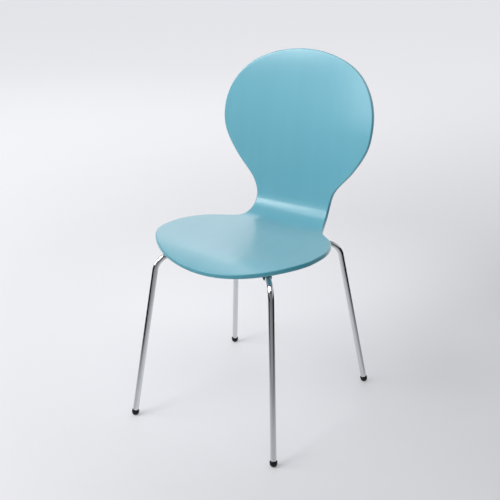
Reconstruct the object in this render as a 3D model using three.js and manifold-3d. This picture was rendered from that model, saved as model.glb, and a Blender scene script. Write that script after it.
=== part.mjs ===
// Stacking chair: a moulded plywood shell on four bent steel tube legs.
// Millimetres. +Z is up, the floor is z = 0, the sitter faces -Y and the sitter's left is +X.

import * as THREE from 'three';
import { mergeVertices } from 'three/addons/utils/BufferGeometryUtils.js';
import Module from 'manifold-3d';

const wasm = await Module();
wasm.setup();

const { degToRad, lerp, smoothstep } = THREE.MathUtils;

// ---------------------------------------------------------------- driving dimensions

const GAP = 0.3; // left between pieces that touch

// The shell is a flat figure-of-eight blank, bent along its length. Arc length s runs over its
// upper face along the middle: zero at the middle of the bend, rising towards the top of the back.
const BLANK_HALF_LENGTH = 405.4;
const BLANK_MIDDLE = 12; // s at the middle of the blank
const SHELL_THICKNESS = 12;
const SHELL_EDGE = 3; // chamfer of both rims

// Half width of the blank is this value times sqrt(1 - u * u), at u = (s - middle) / half length.
// The values are mirrored beyond both ends, so that the curve is level there.
const WIDTH_STATIONS = [-1.2, -1, -0.8, -0.6, -0.45, -0.3, -0.15, 0, 0.15, 0.3, 0.45, 0.6, 0.8, 1, 1.2];
const WIDTH_VALUES = [313, 336, 313, 264, 229, 186, 125, 105.5, 117.5, 173, 225, 261, 302, 338, 302];

// Side profile.
const BEND_MIDDLE = new THREE.Vector2(154.8, 454); // y and z of the upper face at s = 0
const BEND_RADIUS = 67;
const BEND_EASE = 18; // length over which the bend's curvature comes in
const SEAT_SLOPE = degToRad(-2.2); // the seat falls towards the back
const BACK_ANGLE = degToRad(87.9); // just above the bend
const BACK_CURVATURE = -1 / 1250; // the back leans away more and more
const STRAIGHT_S = -150; // the seat is straight here, at its slope
const NOSE_LENGTH = 100; // the front of the seat rolls down over this length
const NOSE_CURVATURE = -1 / 345;
const NOSE_EASE = 60;
const PROFILE_START = -420;
const PROFILE_END = 440;

// Curvature across the width, in thousandths per millimetre, at five places along the shell.
const DISH_STATIONS = [-393, -196, 0, 230, 417];
const DISH_VALUES = [0.85, 0.7, 0.6, 1.0, 0.95];

// The shell's mesh.
const CELLS_ACROSS = 12;
const CELLS_ALONG = 36;
const CROWDING = 0.28; // how much closer the rows lie at the bend

// Legs: one tube each, from the hub under the seat out to a bent knee, then straight to the floor.
const TUBE_RADIUS = 7;
const TUBE_WALL = 1.5;
const KNEE_RADIUS = 45;
const ARM_START = 24; // distance of a tube's inner end from the hub's axis
const HUB_S = -175.5; // the hub sits under the seat here

// Where a leg meets the floor, where its knee is in plan, and its buffer's distance from the hub.
const FRONT_LEG = { foot: [203, -244.7], knee: [156.8, -187.6], bufferDistance: 180 };
const REAR_LEG = { foot: [207.7, 215.8], knee: [151.2, 144.1], bufferDistance: 128 };
const LEGS = [
  { name: 'front_left', side: 1, ...FRONT_LEG },
  { name: 'front_right', side: -1, ...FRONT_LEG },
  { name: 'rear_left', side: 1, ...REAR_LEG },
  { name: 'rear_right', side: -1, ...REAR_LEG },
];

// Glides: moulded cups pressed over the tube ends.
const GLIDE_RADIUS = 9.25;
const GLIDE_HEIGHT = 14.5;
const GLIDE_FLOOR = 4.6; // thickness of plastic under the tube, along the leg
const GLIDE_SUNK = 0.7; // the round bottom is cut flat this far up
const GLIDE_DOME = [8, 26, 44, 62, 78]; // facets of the round bottom, in degrees from its pole
const GLIDE_LIP = 0.8; // chamfer outside the mouth
const GLIDE_LEAD_IN = 0.3; // chamfer inside the mouth
const DISC_THICKNESS = 1.2;
const DISC_RADIUS = 6.8;

// Hub: pad, mounting plate, fasteners and cover.
const PAD_RADIUS = 58;
const PAD_THICKNESS = 1.5;
const PLATE_RADIUS = 61;
const PLATE_THICKNESS = 3;
const SCREW_CIRCLE = 42; // distance of each screw from the hub's axis
const SCREW_RADIUS = 3;
const SCREW_HEAD_RADIUS = 6;
const SCREW_HEAD_HEIGHT = 3.8;
const SCREW_HEAD_FLAT = 4.6; // radius of the flat on the domed head
const SCREW_HEAD_BAND = 1.8; // height of the head's straight side
const SCREW_SOCKET = 4; // across flats
const SCREW_SOCKET_DEPTH = 2.4;
const SCREW_LENGTH = 16;
const SCREW_TIP = 0.8; // chamfer of the tip
const WASHER_RADIUS = 8;
const WASHER_THICKNESS = 1.6;
const INSERT_RADIUS = 4.3;
const INSERT_FLANGE_RADIUS = 7;
const INSERT_FLANGE_THICKNESS = 1.2;
const INSERT_LENGTH = 9;
const COVER_RADIUS = 74;
const COVER_WALL = 2;
const COVER_TOP = -0.5;
const COVER_OUTSIDE = [[58, 0], [68, 1.2], [72.6, 4.6], [74, 9.6]]; // radius, height over its bottom
const COVER_INSIDE = [[72, 9.6], [70.8, 5.8], [67, 3.1], [58, 2]];
const COVER_BOSS_RADIUS = 6;
const COVER_CLEARANCE = 0.6; // of the slots round the tubes
const COVER_SCREW_RADIUS = 2.5;
const COVER_SCREW_HEAD_RADIUS = 4.5;
const COVER_SCREW_HEAD_FLAT = 3.2;
const COVER_SCREW_HEAD_HEIGHT = 2.6;
const COVER_SCREW_SOCKET_RADIUS = 1.5;
const COVER_SCREW_SOCKET_DEPTH = 1.6;

// Buffers: rubber saddles that keep the shell off the tubes.
const BUFFER_LENGTH = 26;
const BUFFER_WALL = 2.8;
const BUFFER_HALF_WIDTH = 8.6;
const BUFFER_WRAP = degToRad(42); // how far its lips reach past the sides of the tube
const BUFFER_BLANK_HEIGHT = 30; // before it is cut to the shell
const SHELL_CUTTER_DEPTH = -40; // the cutter's upper face lies this far over the shell

// ---------------------------------------------------------------- materials

const finish = (color, roughness, metalness) =>
  new THREE.MeshStandardMaterial({ color, roughness, metalness });

const lacquer = () => finish(0x7cb4c6, 0.42, 0);
const chrome = () => finish(0xd6d8db, 0.08, 1);
const steel = () => finish(0x9a9ca0, 0.35, 1);
const brass = () => finish(0xb39a5e, 0.35, 1);
const blackPlastic = () => finish(0x141416, 0.25, 0);
const blackPaint = () => finish(0x202124, 0.5, 0.3);
const rubber = () => finish(0x1c1c1d, 0.8, 0);

// ---------------------------------------------------------------- solids

// A geometry with shared corners and no collapsed triangles.
function weld(geometry) {
  const bare = geometry.clone();
  bare.deleteAttribute('normal');
  bare.deleteAttribute('uv');
  const merged = mergeVertices(bare, 1e-4);
  const kept = [];
  const index = merged.index.array;
  for (let i = 0; i < index.length; i += 3) {
    const [a, b, c] = [index[i], index[i + 1], index[i + 2]];
    if (a !== b && b !== c && c !== a) kept.push(a, b, c);
  }
  merged.setIndex(kept);
  return merged;
}

function toSolid(geometry) {
  const merged = weld(geometry);
  return new wasm.Manifold(new wasm.Mesh({
    numProp: 3,
    vertProperties: Float32Array.from(merged.attributes.position.array),
    triVerts: Uint32Array.from(merged.index.array),
  }));
}

function toGeometry(solid) {
  const mesh = solid.getMesh();
  const geometry = new THREE.BufferGeometry();
  geometry.setAttribute('position', new THREE.BufferAttribute(mesh.vertProperties, 3));
  geometry.setIndex(new THREE.BufferAttribute(mesh.triVerts, 1));
  geometry.computeVertexNormals();
  return geometry;
}

const cut = (geometry, ...tools) =>
  toGeometry(tools.reduce((solid, tool) => solid.subtract(toSolid(tool)), toSolid(geometry)));

// A turned solid about +Z from [radius, height] pairs.
function turned(pairs, segments) {
  const points = pairs.map(([radius, height]) => new THREE.Vector2(radius, height));
  return weld(new THREE.LatheGeometry(points, segments)).rotateX(Math.PI / 2);
}

// A round bar about +Z between two heights.
const bar = (radius, low, high, segments) =>
  new THREE.CylinderGeometry(radius, radius, high - low, segments)
    .rotateX(Math.PI / 2)
    .translate(0, 0, (low + high) / 2);

// A ring about +Z between two heights.
const ring = (inner, outer, low, high, segments) =>
  turned([[inner, low], [outer, low], [outer, high], [inner, high], [inner, low]], segments);

function named(name, geometry, material) {
  const mesh = new THREE.Mesh(geometry, material);
  mesh.name = name;
  return mesh;
}

// ---------------------------------------------------------------- the shell's shape

const widthCurve = new THREE.CubicInterpolant(WIDTH_STATIONS, WIDTH_VALUES, 1);
const dishCurve = new THREE.LinearInterpolant(DISH_STATIONS, DISH_VALUES, 1);

const widthFactor = (u) => widthCurve.evaluate(u)[0];
const dish = (s) => dishCurve.evaluate(s)[0] / 1000;

// Curvature of the side profile at arc length s.
function curvature(s) {
  const bendHalf = (BACK_ANGLE - SEAT_SLOPE) / 2 * BEND_RADIUS;
  const rise = smoothstep(s, -bendHalf - BEND_EASE / 2, -bendHalf + BEND_EASE / 2);
  const fall = smoothstep(s, bendHalf - BEND_EASE / 2, bendHalf + BEND_EASE / 2);
  const noseStart = BLANK_MIDDLE - BLANK_HALF_LENGTH + NOSE_LENGTH;
  const nose = 1 - smoothstep(s, noseStart - NOSE_EASE / 2, noseStart + NOSE_EASE / 2);
  return (rise - fall) / BEND_RADIUS + fall * BACK_CURVATURE + nose * NOSE_CURVATURE;
}

// The profile, one entry per millimetre of arc length, from the front edge to the top of the back.
const profile = (() => {
  const angles = [];
  let angle = 0;
  for (let s = PROFILE_START; s <= PROFILE_END; s += 1) {
    angles.push(angle);
    angle += curvature(s + 0.5);
  }
  const turn = SEAT_SLOPE - angles[STRAIGHT_S - PROFILE_START];
  const rows = [];
  let y = 0;
  let z = 0;
  angles.forEach((value) => {
    const direction = value + turn;
    rows.push({ y, z, angle: direction });
    y += Math.cos(direction);
    z += Math.sin(direction);
  });
  const middle = rows[-PROFILE_START];
  const shiftY = BEND_MIDDLE.x - middle.y;
  const shiftZ = BEND_MIDDLE.y - middle.z;
  return rows.map((row) => ({ y: row.y + shiftY, z: row.z + shiftZ, angle: row.angle }));
})();

function profileAt(s) {
  const place = s - PROFILE_START;
  const low = Math.floor(place);
  const [a, b] = [profile[low], profile[low + 1]];
  const part = place - low;
  return { y: lerp(a.y, b.y, part), z: lerp(a.z, b.z, part), angle: lerp(a.angle, b.angle, part) };
}

// The point at x across and s along, a given depth under the sitter's face.
function shellPoint(x, s, depth) {
  const { y, z, angle } = profileAt(s);
  const lift = 0.5 * dish(s) * x * x - depth;
  return new THREE.Vector3(x, y - Math.sin(angle) * lift, z + Math.cos(angle) * lift);
}

// The blank's rim at an angle round it, as x and s.
function rimPoint(turn) {
  const u = Math.sin(turn);
  return new THREE.Vector2(Math.cos(turn) * widthFactor(u), BLANK_MIDDLE + BLANK_HALF_LENGTH * u);
}

// The rim moved inwards by a distance.
function insetRim(turn, distance) {
  const step = 0.01;
  const along = rimPoint(turn + step).sub(rimPoint(turn - step)).normalize();
  return rimPoint(turn).add(new THREE.Vector2(-along.y, along.x).multiplyScalar(distance));
}

// A box of cells, mapped square to disc, disc to blank, and blank to bent shell.
// layers holds [depth, inset of the rim] pairs, from the underside up.
function shellGeometry(layers) {
  const geometry = new THREE.BoxGeometry(2, 2, 2, CELLS_ACROSS, CELLS_ALONG, layers.length - 1);
  const position = geometry.attributes.position;
  const corner = new THREE.Vector3();
  for (let i = 0; i < position.count; i += 1) {
    corner.fromBufferAttribute(position, i);
    const across = corner.x;
    const along = corner.y * (1 - CROWDING + CROWDING * corner.y * corner.y);
    const discX = across * Math.sqrt(1 - along * along / 2);
    const discY = along * Math.sqrt(1 - across * across / 2);
    const [depth, inset] = layers[Math.round((corner.z + 1) / 2 * (layers.length - 1))];
    const onRim = Math.max(Math.abs(across), Math.abs(along)) > 0.9999;
    const flat = onRim
      ? insetRim(Math.atan2(discY, discX), inset)
      : new THREE.Vector2(discX * widthFactor(discY), BLANK_MIDDLE + BLANK_HALF_LENGTH * discY);
    const point = shellPoint(flat.x, flat.y, depth);
    position.setXYZ(i, point.x, point.y, point.z);
  }
  return geometry;
}

// Height of the shell's underside over the hub's plane.
const underside = (x) => 0.5 * dish(HUB_S) * x * x;

// ---------------------------------------------------------------- the hub

// The hub's own frame: its origin is on the shell's underside, +Z points into the shell.
const hub = new THREE.Group();
hub.position.copy(shellPoint(0, HUB_S, SHELL_THICKNESS));
hub.rotation.x = SEAT_SLOPE;
hub.updateMatrixWorld(true);

const PAD_TOP = -GAP;
const PLATE_TOP = PAD_TOP - PAD_THICKNESS - GAP;
const PLATE_BOTTOM = PLATE_TOP - PLATE_THICKNESS;
const ARM_HEIGHT = PLATE_BOTTOM - GAP - TUBE_RADIUS; // all four arms lie at this height
const HEAD_TOP = PLATE_BOTTOM - WASHER_THICKNESS - 2 * GAP;
const COVER_FLOOR = ARM_HEIGHT - TUBE_RADIUS - 0.8;

const hubNormal = new THREE.Vector3(0, 0, 1).transformDirection(hub.matrixWorld);
const hubAxisPoint = hub.localToWorld(new THREE.Vector3(0, 0, ARM_HEIGHT));
const armPlane = new THREE.Plane().setFromNormalAndCoplanarPoint(hubNormal, hubAxisPoint);

const screwPlaces = [
  { name: 'left', x: SCREW_CIRCLE, y: 0 },
  { name: 'right', x: -SCREW_CIRCLE, y: 0 },
  { name: 'front', x: 0, y: -SCREW_CIRCLE },
  { name: 'rear', x: 0, y: SCREW_CIRCLE },
];

// ---------------------------------------------------------------- leg paths

// A straight arm, a knee of constant radius and a straight leg. One step of the extrusion is the
// arm, one is the leg, and the rest go round the knee.
class LegPath extends THREE.Curve {
  constructor(inner, knee, lower, kneeSteps) {
    super();
    this.inner = inner;
    this.lower = lower;
    this.steps = kneeSteps + 2;
    this.armDirection = knee.clone().sub(inner).normalize();
    this.legDirection = lower.clone().sub(knee).normalize();
    this.turn = this.armDirection.angleTo(this.legDirection);
    const reach = KNEE_RADIUS * Math.tan(this.turn / 2);
    this.kneeStart = knee.clone().addScaledVector(this.armDirection, -reach);
    this.sideways = this.legDirection.clone()
      .addScaledVector(this.armDirection, -this.legDirection.dot(this.armDirection))
      .normalize();
    this.kneeEnd = knee.clone().addScaledVector(this.legDirection, reach);
  }

  getPoint(t, target = new THREE.Vector3()) {
    const step = t * this.steps;
    if (step <= 1) return target.lerpVectors(this.inner, this.kneeStart, step);
    const beyond = step - (this.steps - 1);
    if (beyond >= 0) return target.lerpVectors(this.kneeEnd, this.lower, beyond);
    const angle = (step - 1) / (this.steps - 2) * this.turn;
    return target.copy(this.kneeStart)
      .addScaledVector(this.armDirection, KNEE_RADIUS * Math.sin(angle))
      .addScaledVector(this.sideways, KNEE_RADIUS * (1 - Math.cos(angle)));
  }

  getTangent(t, target = new THREE.Vector3()) {
    const share = (t * this.steps - 1) / (this.steps - 2);
    const angle = THREE.MathUtils.clamp(share, 0, 1) * this.turn;
    return target.copy(this.armDirection).multiplyScalar(Math.cos(angle))
      .addScaledVector(this.sideways, Math.sin(angle));
  }

  getPointAt(t, target) {
    return this.getPoint(t, target);
  }

  getTangentAt(t, target) {
    return this.getTangent(t, target);
  }
}

// Where one leg runs: its knee lies in the arms' plane, above the given x and y.
function legLayout({ side, foot, knee }) {
  const footPoint = new THREE.Vector3(side * foot[0], foot[1], 0);
  const upright = new THREE.Ray(new THREE.Vector3(side * knee[0], knee[1], 0), new THREE.Vector3(0, 0, 1));
  const kneePoint = upright.intersectPlane(armPlane, new THREE.Vector3());
  const outwards = kneePoint.clone().sub(hubAxisPoint).normalize();
  const inner = hubAxisPoint.clone().addScaledVector(outwards, ARM_START);
  const legUp = kneePoint.clone().sub(footPoint).normalize();
  const tubeEnd = footPoint.clone().addScaledVector(legUp, GLIDE_FLOOR + DISC_THICKNESS + 2 * GAP);
  return { footPoint, kneePoint, outwards, inner, legUp, tubeEnd };
}

// ---------------------------------------------------------------- sub-parts

function seatShell() {
  const layers = [
    [SHELL_THICKNESS, SHELL_EDGE],
    [SHELL_THICKNESS - SHELL_EDGE, 0],
    [SHELL_EDGE, 0],
    [0, SHELL_EDGE],
  ];
  const pockets = screwPlaces.map(({ x, y }) => {
    const rise = underside(x);
    return turned([
      [0, rise - 1],
      [INSERT_FLANGE_RADIUS + GAP, rise - 1],
      [INSERT_FLANGE_RADIUS + GAP, rise + INSERT_FLANGE_THICKNESS + GAP],
      [INSERT_RADIUS + GAP, rise + INSERT_FLANGE_THICKNESS + GAP],
      [INSERT_RADIUS + GAP, rise + INSERT_LENGTH + GAP],
      [0, rise + INSERT_LENGTH + GAP],
    ], 16).translate(x, y, 0).applyMatrix4(hub.matrixWorld);
  });
  return named('seat_shell', cut(shellGeometry(layers), ...pockets), lacquer());
}

function legTube(name, { inner, kneePoint, tubeEnd }) {
  const path = new LegPath(inner, kneePoint, tubeEnd, 6);
  const section = new THREE.Shape().absarc(0, 0, TUBE_RADIUS, 0, 2 * Math.PI, false);
  section.holes.push(new THREE.Path().absarc(0, 0, TUBE_RADIUS - TUBE_WALL, 0, 2 * Math.PI, true));
  const options = { extrudePath: path, steps: path.steps, curveSegments: 7 };
  return named(`leg_tube_${name}`, new THREE.ExtrudeGeometry(section, options), chrome());
}

// A turn that brings +Z onto a leg's axis.
const alongLeg = (legUp) =>
  new THREE.Quaternion().setFromUnitVectors(new THREE.Vector3(0, 0, 1), legUp);

function glide(name, { footPoint, legUp }) {
  const bore = TUBE_RADIUS + GAP;
  const rim = GLIDE_HEIGHT - GLIDE_SUNK;
  const centre = GLIDE_RADIUS - GLIDE_SUNK; // height of the widest place
  const dome = GLIDE_DOME.map((degrees) => {
    const angle = degToRad(degrees);
    return [GLIDE_RADIUS * Math.sin(angle), centre - GLIDE_RADIUS * Math.cos(angle)];
  });
  const cup = turned([
    [0, -GLIDE_SUNK],
    ...dome,
    [GLIDE_RADIUS, centre],
    [GLIDE_RADIUS, rim - GLIDE_LIP],
    [GLIDE_RADIUS - GLIDE_LIP, rim],
    [bore, rim - GLIDE_LEAD_IN],
    [bore, GLIDE_FLOOR],
    [0, GLIDE_FLOOR],
  ], 16);
  const placed = cup.applyQuaternion(alongLeg(legUp)).translate(footPoint.x, footPoint.y, 0);
  const size = 4 * GLIDE_RADIUS;
  const belowFloor = new THREE.BoxGeometry(size, size, size)
    .translate(footPoint.x, footPoint.y, -size / 2);
  return named(`glide_${name}`, cut(placed, belowFloor), blackPlastic());
}

function glideDisc(name, { footPoint, legUp }) {
  const disc = bar(DISC_RADIUS, GLIDE_FLOOR + GAP, GLIDE_FLOOR + GAP + DISC_THICKNESS, 14);
  const mesh = named(`glide_disc_${name}`, disc, steel());
  mesh.quaternion.copy(alongLeg(legUp));
  mesh.position.copy(footPoint);
  return mesh;
}

// A saddle round the tube from below, with a block above it up to the shell.
function seatBuffer(name, { outwards }, distance) {
  const [from, to] = [-BUFFER_WRAP, Math.PI + BUFFER_WRAP];
  const inner = TUBE_RADIUS + GAP;
  const outer = inner + BUFFER_WALL;
  const shoulder = Math.acos(BUFFER_HALF_WIDTH / outer);
  const section = new THREE.Shape();
  section.moveTo(inner * Math.cos(from), inner * Math.sin(from));
  section.absarc(0, 0, outer, from, shoulder, false);
  section.lineTo(BUFFER_HALF_WIDTH, BUFFER_BLANK_HEIGHT);
  section.lineTo(-BUFFER_HALF_WIDTH, BUFFER_BLANK_HEIGHT);
  section.absarc(0, 0, outer, Math.PI - shoulder, to, false);
  section.absarc(0, 0, inner, to, from, true);
  const options = { depth: BUFFER_LENGTH, bevelEnabled: false, curveSegments: 8 };
  const block = new THREE.ExtrudeGeometry(section, options).translate(0, 0, -BUFFER_LENGTH / 2);
  const across = new THREE.Vector3().crossVectors(hubNormal, outwards).normalize();
  const up = new THREE.Vector3().crossVectors(outwards, across);
  const place = new THREE.Matrix4().makeBasis(across, up, outwards)
    .setPosition(hubAxisPoint.clone().addScaledVector(outwards, distance));
  const shellSpace = shellGeometry([[SHELL_THICKNESS + GAP, 0], [SHELL_CUTTER_DEPTH, 0]]);
  return named(`seat_buffer_${name}`, cut(block.applyMatrix4(place), shellSpace), rubber());
}

// A round sheet with a hole for each screw and one in the middle.
function drilledDisc(radius, low, high) {
  const hole = (x, y, size) => new THREE.Path().absarc(x, y, size, 0, 2 * Math.PI, true);
  const outline = new THREE.Shape().absarc(0, 0, radius, 0, 2 * Math.PI, false);
  screwPlaces.forEach(({ x, y }) => outline.holes.push(hole(x, y, SCREW_RADIUS + GAP)));
  outline.holes.push(hole(0, 0, COVER_SCREW_RADIUS + GAP));
  const options = { depth: high - low, bevelEnabled: false, curveSegments: 10 };
  return new THREE.ExtrudeGeometry(outline, options).translate(0, 0, low);
}

function mountingPlate() {
  return named('mounting_plate', drilledDisc(PLATE_RADIUS, PLATE_BOTTOM, PLATE_TOP), blackPaint());
}

function hubPad() {
  return named('hub_pad', drilledDisc(PAD_RADIUS, PAD_TOP - PAD_THICKNESS, PAD_TOP), rubber());
}

// One screw, its washer and its threaded insert in the shell.
function screwSet({ name, x, y }) {
  const rise = underside(x);
  const tip = HEAD_TOP + SCREW_LENGTH;
  const headBottom = HEAD_TOP - SCREW_HEAD_HEIGHT;
  const screw = turned([
    [0, headBottom],
    [SCREW_HEAD_FLAT, headBottom],
    [SCREW_HEAD_RADIUS, HEAD_TOP - SCREW_HEAD_BAND],
    [SCREW_HEAD_RADIUS, HEAD_TOP],
    [SCREW_RADIUS, HEAD_TOP],
    [SCREW_RADIUS, tip - SCREW_TIP],
    [SCREW_RADIUS - SCREW_TIP, tip],
    [0, tip],
  ], 14);
  const socketRadius = SCREW_SOCKET / Math.sqrt(3);
  const socket = bar(socketRadius, headBottom - 1, headBottom + SCREW_SOCKET_DEPTH, 6);
  const washerTop = PLATE_BOTTOM - GAP;
  const washer = ring(SCREW_RADIUS + GAP, WASHER_RADIUS, washerTop - WASHER_THICKNESS, washerTop, 14);
  const bore = SCREW_RADIUS + GAP;
  const insert = turned([
    [bore, rise],
    [INSERT_FLANGE_RADIUS, rise],
    [INSERT_FLANGE_RADIUS, rise + INSERT_FLANGE_THICKNESS],
    [INSERT_RADIUS, rise + INSERT_FLANGE_THICKNESS],
    [INSERT_RADIUS, rise + INSERT_LENGTH],
    [bore, rise + INSERT_LENGTH],
    [bore, rise],
  ], 14);
  const meshes = [
    named(`shell_screw_${name}`, cut(screw, socket), steel()),
    named(`screw_washer_${name}`, washer, steel()),
    named(`threaded_insert_${name}`, insert, brass()),
  ];
  meshes.forEach((mesh) => mesh.position.set(x, y, 0));
  return meshes;
}

// A long hole for a tube and its knee, open to the cover's upper edge.
function coverSlot({ kneePoint }) {
  const local = hub.worldToLocal(kneePoint.clone());
  const radius = TUBE_RADIUS + COVER_CLEARANCE;
  const reach = 20; // either side of the cover's wall, and over its edge
  const tunnel = bar(radius, COVER_RADIUS - reach, COVER_RADIUS + reach, 20)
    .rotateY(Math.PI / 2)
    .translate(0, 0, ARM_HEIGHT);
  const notch = new THREE.BoxGeometry(2 * reach, 2 * radius, reach - ARM_HEIGHT)
    .translate(COVER_RADIUS, 0, (reach + ARM_HEIGHT) / 2);
  return toGeometry(toSolid(notch).add(toSolid(tunnel))).rotateZ(Math.atan2(local.y, local.x));
}

function hubCover(layouts) {
  const outside = COVER_FLOOR - COVER_WALL;
  const bore = COVER_SCREW_RADIUS + GAP;
  const over = (pairs) => pairs.map(([radius, height]) => [radius, outside + height]);
  const bowl = turned([
    [bore, outside],
    ...over(COVER_OUTSIDE),
    [COVER_RADIUS, COVER_TOP],
    [COVER_RADIUS - COVER_WALL, COVER_TOP],
    ...over(COVER_INSIDE),
    [COVER_BOSS_RADIUS, COVER_FLOOR],
    [COVER_BOSS_RADIUS, PLATE_BOTTOM - GAP],
    [bore, PLATE_BOTTOM - GAP],
    [bore, outside],
  ], 32);
  return named('hub_cover', cut(bowl, ...layouts.map(coverSlot)), blackPlastic());
}

function coverScrew() {
  const headTop = COVER_FLOOR - COVER_WALL - GAP;
  const headBottom = headTop - COVER_SCREW_HEAD_HEIGHT;
  const tip = PLATE_TOP - 2 * GAP;
  const screw = turned([
    [0, headBottom],
    [COVER_SCREW_HEAD_FLAT, headBottom],
    [COVER_SCREW_HEAD_RADIUS, headTop],
    [COVER_SCREW_RADIUS, headTop],
    [COVER_SCREW_RADIUS, tip],
    [0, tip],
  ], 14);
  const socket = bar(COVER_SCREW_SOCKET_RADIUS, headBottom - 1, headBottom + COVER_SCREW_SOCKET_DEPTH, 6);
  return named('cover_screw', cut(screw, socket), steel());
}

// ---------------------------------------------------------------- assembly

const chair = new THREE.Group();
chair.add(seatShell());

const layouts = LEGS.map(legLayout);
LEGS.forEach(({ name, bufferDistance }, i) => {
  chair.add(legTube(name, layouts[i]));
  chair.add(glide(name, layouts[i]));
  chair.add(glideDisc(name, layouts[i]));
  chair.add(seatBuffer(name, layouts[i], bufferDistance));
});

hub.add(hubPad());
hub.add(mountingPlate());
screwPlaces.forEach((place) => hub.add(...screwSet(place)));
hub.add(hubCover(layouts));
hub.add(coverScrew());
chair.add(hub);

export default chair;
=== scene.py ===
import math

import bpy
import numpy as np
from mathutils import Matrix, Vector


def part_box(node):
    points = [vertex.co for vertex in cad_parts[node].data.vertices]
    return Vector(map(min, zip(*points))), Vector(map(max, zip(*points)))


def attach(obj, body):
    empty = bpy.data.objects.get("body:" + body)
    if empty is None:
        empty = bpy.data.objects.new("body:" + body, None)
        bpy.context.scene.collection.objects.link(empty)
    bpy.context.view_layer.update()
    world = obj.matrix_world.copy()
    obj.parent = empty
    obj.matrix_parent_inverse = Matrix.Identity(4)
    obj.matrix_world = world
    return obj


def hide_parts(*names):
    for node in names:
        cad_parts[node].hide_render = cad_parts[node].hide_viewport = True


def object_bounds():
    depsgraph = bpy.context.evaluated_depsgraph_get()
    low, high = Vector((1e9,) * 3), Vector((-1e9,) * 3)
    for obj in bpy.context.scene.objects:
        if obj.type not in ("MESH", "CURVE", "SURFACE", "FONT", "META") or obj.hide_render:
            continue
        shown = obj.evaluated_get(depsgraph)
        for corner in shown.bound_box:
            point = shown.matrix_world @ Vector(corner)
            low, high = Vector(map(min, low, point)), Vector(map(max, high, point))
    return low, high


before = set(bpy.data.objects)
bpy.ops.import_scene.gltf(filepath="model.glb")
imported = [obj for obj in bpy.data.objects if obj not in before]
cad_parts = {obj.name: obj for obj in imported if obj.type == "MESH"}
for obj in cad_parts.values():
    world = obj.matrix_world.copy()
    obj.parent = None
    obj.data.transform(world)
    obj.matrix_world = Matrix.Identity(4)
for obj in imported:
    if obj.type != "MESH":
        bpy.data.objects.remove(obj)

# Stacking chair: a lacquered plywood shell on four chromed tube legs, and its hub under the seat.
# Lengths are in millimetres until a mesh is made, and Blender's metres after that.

CAD_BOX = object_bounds()
CENTRE = (CAD_BOX[0] + CAD_BOX[1]) / 2
MM = 0.001
GAP = 0.3  # left between pieces that touch

# ---------------------------------------------------------------- the shell's dimensions

# The shell is a flat figure-of-eight blank, bent along its length. Arc length s runs over its
# upper face along the middle: zero at the middle of the bend, rising towards the top of the back.
BLANK_HALF_LENGTH = 404.9
BLANK_MIDDLE = 12  # s at the middle of the blank
SHELL_THICKNESS = 12
SHELL_EDGE = 3  # radius of both rims

# Half width of the blank is this value times sqrt(1 - u * u), at u = (s - middle) / half length.
WIDTH_STATIONS = [-1.2, -1, -0.8, -0.6, -0.45, -0.3, -0.15, 0, 0.15, 0.3, 0.45, 0.6, 0.8, 1, 1.2]
WIDTH_VALUES = [313, 336, 313, 264, 229, 186, 125, 105.5, 117.5, 173, 225, 261, 302, 338, 302]

BEND_MIDDLE = (154.8, 454)  # y and z of the upper face at s = 0
BEND_RADIUS = 67
BEND_EASE = 18  # length over which the bend's curvature comes in
SEAT_SLOPE = math.radians(-2.2)  # the seat falls towards the back
BACK_ANGLE = math.radians(87.9)  # just above the bend
BACK_CURVATURE = -1 / 1250  # the back leans away more and more
NOSE_LENGTH = 100  # the front of the seat rolls down over this length
NOSE_CURVATURE = -1 / 345
NOSE_EASE = 60
DISH_STATIONS = [-393, -196, 0, 230, 417]
DISH_VALUES = [0.85, 0.7, 0.6, 1.0, 0.95]  # curvature across, in thousandths per millimetre
STRAIGHT_S = -150  # the seat is straight here, at its slope
PROFILE_START = -420
PROFILE_END = 440
CELLS_ACROSS = 88
CELLS_ALONG = 176
CROWDING = 0.2  # how much closer the rows lie at the bend
VENEER = 1.5  # thickness of one ply
RIM_COLOUR_START = (0.1, 0.9)  # depths between which the face's colour gives way to the rim's darker colour, which is painted shade

# ---------------------------------------------------------------- the legs' dimensions

TUBE_RADIUS = 7
TUBE_WALL = 1.5
TUBE_CHAMFER = 0.35
KNEE_RADIUS = 45
ARM_START = 24  # distance of a tube's inner end from the hub's axis
HUB_S = -175.5  # the hub sits under the seat here

# Where a leg meets the floor, where its knee is in plan, and its buffer's distance from the hub.
FRONT_LEG = {"foot": (203, -244.7), "knee": (156.8, -187.6), "buffer": 180}
REAR_LEG = {"foot": (207.7, 215.8), "knee": (151.2, 144.1), "buffer": 128}
LEGS = {
    "front_left": (1, FRONT_LEG),
    "front_right": (-1, FRONT_LEG),
    "rear_left": (1, REAR_LEG),
    "rear_right": (-1, REAR_LEG),
}

GLIDE_RADIUS = 9.1
GLIDE_HEIGHT = 14.5
GLIDE_FLOOR = 4.6  # thickness of plastic under the tube, along the leg
GLIDE_SUNK = 0.7  # the round bottom is cut flat this far up
DISC_THICKNESS = 1.2
DISC_RADIUS = 6.8

# ---------------------------------------------------------------- the hub's dimensions

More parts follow.
